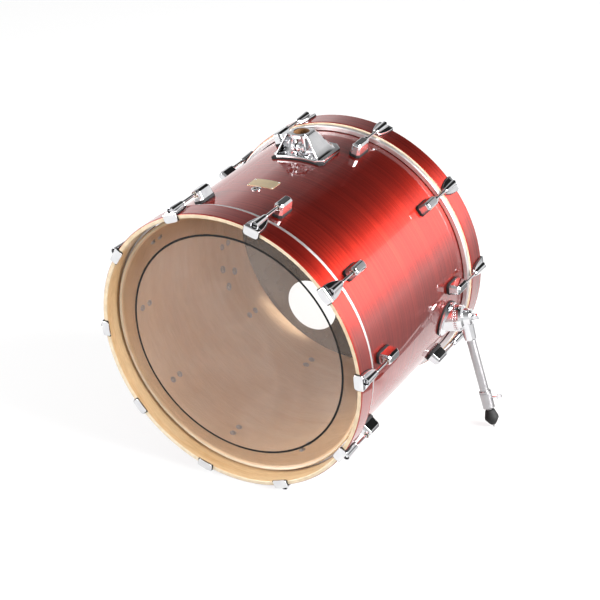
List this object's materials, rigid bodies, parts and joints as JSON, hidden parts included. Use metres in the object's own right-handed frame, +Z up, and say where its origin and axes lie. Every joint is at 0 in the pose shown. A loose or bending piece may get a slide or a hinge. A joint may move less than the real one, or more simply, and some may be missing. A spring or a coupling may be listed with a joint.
{
  "type": "bass drum",
  "caption": "Bass drum on its side with clear and black heads, wood hoops, claws, rods, lugs, a tom post bracket and two folding spurs.",
  "frame": {"origin": "on the floor under the middle of the drum", "axes": "+X across to the right as the player sees it, +Y along the drum's axis from the batter head to the resonant head, +Z up"},
  "size_m": [0.7858, 0.529, 0.6244],
  "materials": {
    "shell_maple": "satin clear lacquer",
    "red_finish": "brushed red wrap under gloss clear",
    "hoop_maple": "satin clear lacquer",
    "clear_film": "clear polyester film",
    "black_film": "black polyester film",
    "underlay_film": "clear film with a black inner line",
    "aluminium": "satin",
    "chrome": "polished",
    "black_rubber": "matt",
    "nut_brass": "plated",
    "zinc_steel": "zinc plated",
    "badge_metal": "satin gold, bare",
    "brown_nylon": "moulded",
    "foot_rubber": "matt"
  },
  "bodies": {
    "drum": {"shell": "shell_maple", "shell_wrap": "red_finish", "batter_hoop": "hoop_maple", "resonant_hoop": "hoop_maple", "hoop_wraps": "red_finish", "batter_head": "clear_film", "resonant_head": "black_film", "batter_underlay_ring": "underlay_film", "flesh_hoops": "aluminium", "batter_claws": "chrome", "resonant_claws": "chrome", "claw_liners": "black_rubber", "batter_lugs": "chrome", "resonant_lugs": "chrome", "lug_gaskets": "black_rubber", "lug_nuts": "nut_brass", "lug_screws": "zinc_steel", "badge": "badge_metal", "vent_grommet": "chrome", "tom_bracket": "chrome", "tom_gasket": "black_rubber", "tom_bush": "brown_nylon", "bracket_screws": "zinc_steel", "spur_bases": "chrome", "spur_gaskets": "black_rubber"},
    "spur_right": {"spur_swivel_right": "chrome", "spur_tube_right": "chrome", "spur_clamp_right": "chrome"},
    "spur_right_rod": {"spur_rod_right": "chrome"},
    "spur_right_foot": {"spur_foot_right": "foot_rubber"},
    "spur_right_wing": {"spur_wing_screw_right": "chrome"},
    "spur_right_clamp_screw": {"spur_clamp_screw_right": "chrome"},
    "spur_left": {"spur_swivel_left": "chrome", "spur_tube_left": "chrome", "spur_clamp_left": "chrome"},
    "spur_left_rod": {"spur_rod_left": "chrome"},
    "spur_left_foot": {"spur_foot_left": "foot_rubber"},
    "spur_left_wing": {"spur_wing_screw_left": "chrome"},
    "spur_left_clamp_screw": {"spur_clamp_screw_left": "chrome"},
    "tom_clamp_bolt": {"tom_clamp_bolt": "chrome"},
    "batter_rod_01": {"batter_rod_01": "chrome"},
    "batter_rod_02": {"batter_rod_02": "chrome"},
    "batter_rod_03": {"batter_rod_03": "chrome"},
    "batter_rod_04": {"batter_rod_04": "chrome"},
    "batter_rod_05": {"batter_rod_05": "chrome"},
    "batter_rod_06": {"batter_rod_06": "chrome"},
    "batter_rod_07": {"batter_rod_07": "chrome"},
    "batter_rod_08": {"batter_rod_08": "chrome"},
    "batter_rod_09": {"batter_rod_09": "chrome"},
    "batter_rod_10": {"batter_rod_10": "chrome"},
    "resonant_rod_01": {"resonant_rod_01": "chrome"},
    "resonant_rod_02": {"resonant_rod_02": "chrome"},
    "resonant_rod_03": {"resonant_rod_03": "chrome"},
    "resonant_rod_04": {"resonant_rod_04": "chrome"},
    "resonant_rod_05": {"resonant_rod_05": "chrome"},
    "resonant_rod_06": {"resonant_rod_06": "chrome"},
    "resonant_rod_07": {"resonant_rod_07": "chrome"},
    "resonant_rod_08": {"resonant_rod_08": "chrome"},
    "resonant_rod_09": {"resonant_rod_09": "chrome"},
    "resonant_rod_10": {"resonant_rod_10": "chrome"}
  },
  "joints": [
    {"name": "spur_right_fold", "type": "hinge", "parent": "drum", "child": "spur_right", "pos_m": [0.2952, 0.14115, 0.2284], "axis": [0.9686, 0.2059, 0.1392], "range_deg": [-95, 35]},
    {"name": "spur_right_extend", "type": "slide", "parent": "spur_right", "child": "spur_right_rod", "axis": [0.2879, -0.1202, -0.9501], "range_m": [0, 0.08]},
    {"name": "spur_right_foot_screw", "type": "slide", "parent": "spur_right_rod", "child": "spur_right_foot", "axis": [0.2879, -0.1202, -0.9501], "range_m": [0, 0.006]},
    {"name": "spur_right_wing_turn", "type": "hinge", "parent": "drum", "child": "spur_right_wing", "pos_m": [0.2952, 0.14115, 0.2284], "axis": [0.9686, 0.2059, 0.1392], "continuous": true},
    {"name": "spur_right_clamp_screw_turn", "type": "hinge", "parent": "spur_right", "child": "spur_right_clamp_screw", "pos_m": [0.36097, 0.12283, 0.06137], "axis": [0.9406, 0.2222, 0.2569], "continuous": true},
    {"name": "spur_left_fold", "type": "hinge", "parent": "drum", "child": "spur_left", "pos_m": [-0.2952, 0.14115, 0.2284], "axis": [0.9686, -0.2059, -0.1392], "range_deg": [-95, 35]},
    {"name": "spur_left_extend", "type": "slide", "parent": "spur_left", "child": "spur_left_rod", "axis": [-0.2879, -0.1202, -0.9501], "range_m": [0, 0.08]},
    {"name": "spur_left_foot_screw", "type": "slide", "parent": "spur_left_rod", "child": "spur_left_foot", "axis": [-0.2879, -0.1202, -0.9501], "range_m": [0, 0.006]},
    {"name": "spur_left_wing_turn", "type": "hinge", "parent": "drum", "child": "spur_left_wing", "pos_m": [-0.2952, 0.14115, 0.2284], "axis": [0.9686, -0.2059, -0.1392], "continuous": true},
    {"name": "spur_left_clamp_screw_turn", "type": "hinge", "parent": "spur_left", "child": "spur_left_clamp_screw", "pos_m": [-0.36097, 0.12283, 0.06137], "axis": [0.9406, -0.2222, -0.2569], "continuous": true},
    {"name": "tom_clamp_bolt_turn", "type": "hinge", "parent": "drum", "child": "tom_clamp_bolt", "pos_m": [0, 0.0593, 0.5974], "axis": [1, 0, 0], "continuous": true},
    {"name": "batter_rod_01_turn", "type": "hinge", "parent": "drum", "child": "batter_rod_01", "pos_m": [0.09317, -0.2003, 0.58174], "axis": [0, 1, 0], "continuous": true},
    {"name": "batter_rod_02_turn", "type": "hinge", "parent": "drum", "child": "batter_rod_02", "pos_m": [0.24392, -0.2003, 0.47222], "axis": [0, 1, 0], "continuous": true},
    {"name": "batter_rod_03_turn", "type": "hinge", "parent": "drum", "child": "batter_rod_03", "pos_m": [0.3015, -0.2003, 0.295], "axis": [0, 1, 0], "continuous": true},
    {"name": "batter_rod_04_turn", "type": "hinge", "parent": "drum", "child": "batter_rod_04", "pos_m": [0.24392, -0.2003, 0.11778], "axis": [0, 1, 0], "continuous": true},
    {"name": "batter_rod_05_turn", "type": "hinge", "parent": "drum", "child": "batter_rod_05", "pos_m": [0.09317, -0.2003, 0.00826], "axis": [0, 1, 0], "continuous": true},
    {"name": "batter_rod_06_turn", "type": "hinge", "parent": "drum", "child": "batter_rod_06", "pos_m": [-0.09317, -0.2003, 0.00826], "axis": [0, 1, 0], "continuous": true},
    {"name": "batter_rod_07_turn", "type": "hinge", "parent": "drum", "child": "batter_rod_07", "pos_m": [-0.24392, -0.2003, 0.11778], "axis": [0, 1, 0], "continuous": true},
    {"name": "batter_rod_08_turn", "type": "hinge", "parent": "drum", "child": "batter_rod_08", "pos_m": [-0.3015, -0.2003, 0.295], "axis": [0, 1, 0], "continuous": true},
    {"name": "batter_rod_09_turn", "type": "hinge", "parent": "drum", "child": "batter_rod_09", "pos_m": [-0.24392, -0.2003, 0.47222], "axis": [0, 1, 0], "continuous": true},
    {"name": "batter_rod_10_turn", "type": "hinge", "parent": "drum", "child": "batter_rod_10", "pos_m": [-0.09317, -0.2003, 0.58174], "axis": [0, 1, 0], "continuous": true},
    {"name": "resonant_rod_01_turn", "type": "hinge", "parent": "drum", "child": "resonant_rod_01", "pos_m": [0.09317, 0.2003, 0.58174], "axis": [0, 1, 0], "continuous": true},
    {"name": "resonant_rod_02_turn", "type": "hinge", "parent": "drum", "child": "resonant_rod_02", "pos_m": [0.24392, 0.2003, 0.47222], "axis": [0, 1, 0], "continuous": true},
    {"name": "resonant_rod_03_turn", "type": "hinge", "parent": "drum", "child": "resonant_rod_03", "pos_m": [0.3015, 0.2003, 0.295], "axis": [0, 1, 0], "continuous": true},
    {"name": "resonant_rod_04_turn", "type": "hinge", "parent": "drum", "child": "resonant_rod_04", "pos_m": [0.24392, 0.2003, 0.11778], "axis": [0, 1, 0], "continuous": true},
    {"name": "resonant_rod_05_turn", "type": "hinge", "parent": "drum", "child": "resonant_rod_05", "pos_m": [0.09317, 0.2003, 0.00826], "axis": [0, 1, 0], "continuous": true},
    {"name": "resonant_rod_06_turn", "type": "hinge", "parent": "drum", "child": "resonant_rod_06", "pos_m": [-0.09317, 0.2003, 0.00826], "axis": [0, 1, 0], "continuous": true},
    {"name": "resonant_rod_07_turn", "type": "hinge", "parent": "drum", "child": "resonant_rod_07", "pos_m": [-0.24392, 0.2003, 0.11778], "axis": [0, 1, 0], "continuous": true},
    {"name": "resonant_rod_08_turn", "type": "hinge", "parent": "drum", "child": "resonant_rod_08", "pos_m": [-0.3015, 0.2003, 0.295], "axis": [0, 1, 0], "continuous": true},
    {"name": "resonant_rod_09_turn", "type": "hinge", "parent": "drum", "child": "resonant_rod_09", "pos_m": [-0.24392, 0.2003, 0.47222], "axis": [0, 1, 0], "continuous": true},
    {"name": "resonant_rod_10_turn", "type": "hinge", "parent": "drum", "child": "resonant_rod_10", "pos_m": [-0.09317, 0.2003, 0.58174], "axis": [0, 1, 0], "continuous": true}
  ]
}
